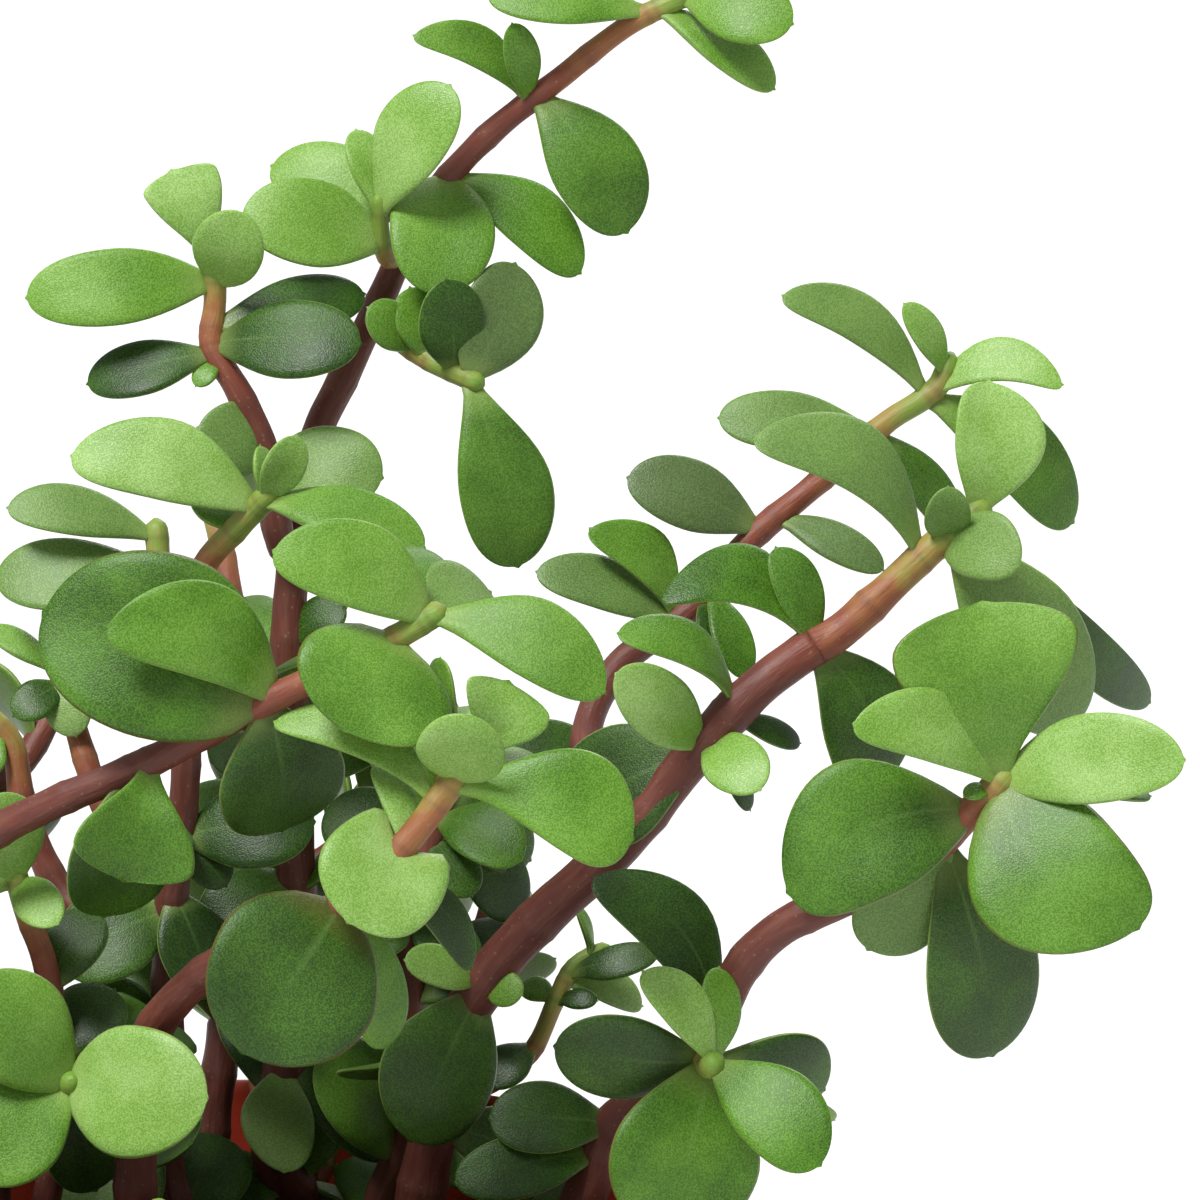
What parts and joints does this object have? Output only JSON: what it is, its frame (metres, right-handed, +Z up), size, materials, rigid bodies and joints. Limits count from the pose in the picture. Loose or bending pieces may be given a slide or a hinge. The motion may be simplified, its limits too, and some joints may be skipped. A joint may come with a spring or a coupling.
{
  "type": "potted elephant bush",
  "caption": "Bushy elephant bush with round fleshy leaves on maroon stems, in a plain round red-brown nursery pot.",
  "frame": {"origin": "centre of the flat underside of the pot", "axes": "+Z up along the pot's axis; the picture looks along +Y, with the tall right-hand stems towards +X"},
  "size_m": [0.1695, 0.125, 0.2111],
  "materials": {
    "pot_plastic": "smooth satin moulded plastic",
    "soil": "rough dark potting mix",
    "leaf": "waxy semi-gloss, finely speckled",
    "bark": "smooth satin bark with ring nodes"
  },
  "bodies": {
    "root": {"pot": "pot_plastic", "soil": "soil", "stem_back": "leaf", "stem_back_left": "leaf", "stem_back_right": "leaf", "stem_back_rim": "leaf", "stem_centre_back": "leaf", "stem_centre_front": "leaf", "stem_front_rim": "leaf", "stem_left": "leaf", "stem_left_front": "leaf", "stem_left_low": "leaf", "stem_left_middle": "leaf", "stem_left_rim": "leaf", "stem_low_right": "leaf", "stem_right_leader": "leaf", "stem_right_rim": "leaf", "stem_top": "leaf"}
  },
  "joints": []
}
